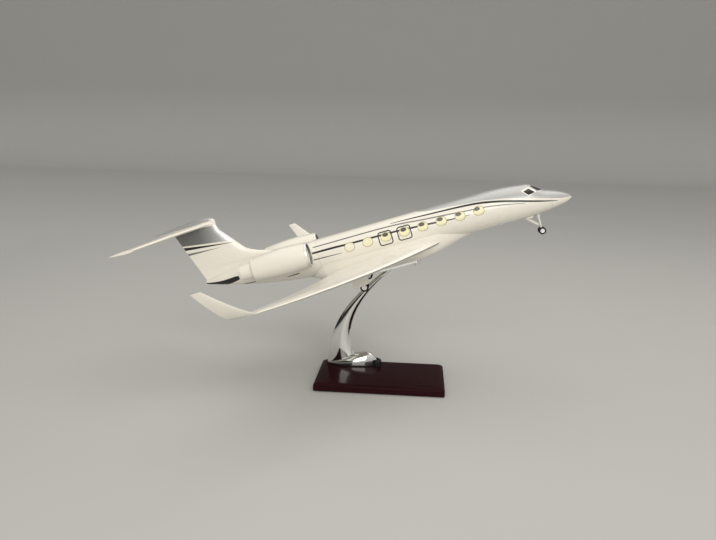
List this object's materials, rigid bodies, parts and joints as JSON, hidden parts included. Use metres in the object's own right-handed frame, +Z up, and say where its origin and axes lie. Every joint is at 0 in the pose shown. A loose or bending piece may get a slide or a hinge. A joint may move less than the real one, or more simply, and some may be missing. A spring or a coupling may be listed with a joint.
{
  "type": "model business jet",
  "caption": "Desk display model of a swept-wing business jet with winglets and a high tail, climbing on a curved plated arm above a lacquered rectangular base.",
  "frame": {"origin": "middle of the underside of the base, on the table", "axes": "+X towards the jet's nose along the base, +Y towards the jet's left wing, +Z up"},
  "size_m": [0.4716, 0.4676, 0.2139],
  "materials": {
    "lacquered_wood": "dark cherry gloss lacquer",
    "felt": "short dark felt",
    "black_rubber": "smooth black rubber",
    "chrome_plate": "polished chrome plate",
    "zinc_steel": "zinc plated",
    "jet_white": "warm white gloss paint with painted stripes",
    "dark_glazing": "polished smoked black",
    "window_panes": "translucent cream, lit from inside",
    "circuit_board": "green circuit board",
    "lead_insulation": "red and black insulation",
    "cell_steel": "bright steel",
    "switch_black": "matt black",
    "brass_insert": "turned brass",
    "lip_silver": "satin silver paint",
    "fan_metal": "dark satin metal",
    "gear_white": "white gloss paint",
    "tyre_rubber": "matt black rubber",
    "hub_metal": "satin silver"
  },
  "bodies": {
    "stand": {"base_board": "lacquered_wood", "base_felt": "felt", "foot_gasket": "black_rubber", "stand_arm": "chrome_plate", "foot_screws": "zinc_steel"},
    "jet": {"fuselage_right": "jet_white", "fuselage_left": "jet_white", "nose_cone": "jet_white", "tail_section": "jet_white", "belly_fairing": "jet_white", "cockpit_glazing": "dark_glazing", "window_strip_right": "window_panes", "window_strip_left": "window_panes", "light_board": "circuit_board", "battery_lead": "lead_insulation", "button_cells": "cell_steel", "battery_cover": "jet_white", "cover_screw": "zinc_steel", "saddle_insert": "brass_insert", "wing_right": "jet_white", "wing_left": "jet_white", "fin": "jet_white", "tailplane": "jet_white", "tail_bullet": "jet_white", "pylon_right": "jet_white", "pylon_left": "jet_white", "cowl_right": "jet_white", "cowl_left": "jet_white", "intake_lip_right": "lip_silver", "intake_lip_left": "lip_silver", "fan_right": "fan_metal", "fan_left": "fan_metal", "nozzle_right": "jet_white", "nozzle_left": "jet_white", "nose_leg": "gear_white", "nose_brace": "gear_white", "nose_doors": "jet_white", "main_leg_right": "gear_white", "main_leg_left": "gear_white", "main_door_right": "jet_white", "main_door_left": "jet_white", "axle_caps": "zinc_steel"},
    "thumb_screw": {"thumb_screw": "chrome_plate"},
    "light_switch": {"light_switch": "switch_black"},
    "nose_wheel_right": {"nose_tyre_right": "tyre_rubber", "nose_hub_right": "hub_metal"},
    "nose_wheel_left": {"nose_tyre_left": "tyre_rubber", "nose_hub_left": "hub_metal"},
    "main_wheel_right_outer": {"main_tyre_right_outer": "tyre_rubber", "main_hub_right_outer": "hub_metal"},
    "main_wheel_right_inner": {"main_tyre_right_inner": "tyre_rubber", "main_hub_right_inner": "hub_metal"},
    "main_wheel_left_outer": {"main_tyre_left_outer": "tyre_rubber", "main_hub_left_outer": "hub_metal"},
    "main_wheel_left_inner": {"main_tyre_left_inner": "tyre_rubber", "main_hub_left_inner": "hub_metal"}
  },
  "joints": [
    {"name": "jet_lift_off", "type": "slide", "parent": "stand", "child": "jet", "axis": [-0.3074, 0, 0.9516], "range_m": [0, 0.014]},
    {"name": "thumb_screw_turn", "type": "hinge", "parent": "stand", "child": "thumb_screw", "pos_m": [0.03348, 0.028, 0.12712], "axis": [-0.3074, 0, 0.9516], "continuous": true},
    {"name": "light_switch_slide", "type": "slide", "parent": "jet", "child": "light_switch", "axis": [0.9516, 0, 0.3074], "range_m": [0, 0.0025]},
    {"name": "nose_wheel_right_spin", "type": "hinge", "parent": "jet", "child": "nose_wheel_right", "pos_m": [0.16511, 0.024, 0.16564], "axis": [0, 1, 0], "continuous": true},
    {"name": "nose_wheel_left_spin", "type": "hinge", "parent": "jet", "child": "nose_wheel_left", "pos_m": [0.16511, 0.032, 0.16564], "axis": [0, 1, 0], "continuous": true},
    {"name": "main_wheel_right_outer_spin", "type": "hinge", "parent": "jet", "child": "main_wheel_right_outer", "pos_m": [-0.01949, -0.01, 0.10371], "axis": [0, 1, 0], "continuous": true},
    {"name": "main_wheel_right_inner_spin", "type": "hinge", "parent": "jet", "child": "main_wheel_right_inner", "pos_m": [-0.01949, -0.002, 0.10371], "axis": [0, 1, 0], "continuous": true},
    {"name": "main_wheel_left_outer_spin", "type": "hinge", "parent": "jet", "child": "main_wheel_left_outer", "pos_m": [-0.01949, 0.066, 0.10371], "axis": [0, 1, 0], "continuous": true},
    {"name": "main_wheel_left_inner_spin", "type": "hinge", "parent": "jet", "child": "main_wheel_left_inner", "pos_m": [-0.01949, 0.058, 0.10371], "axis": [0, 1, 0], "continuous": true}
  ]
}
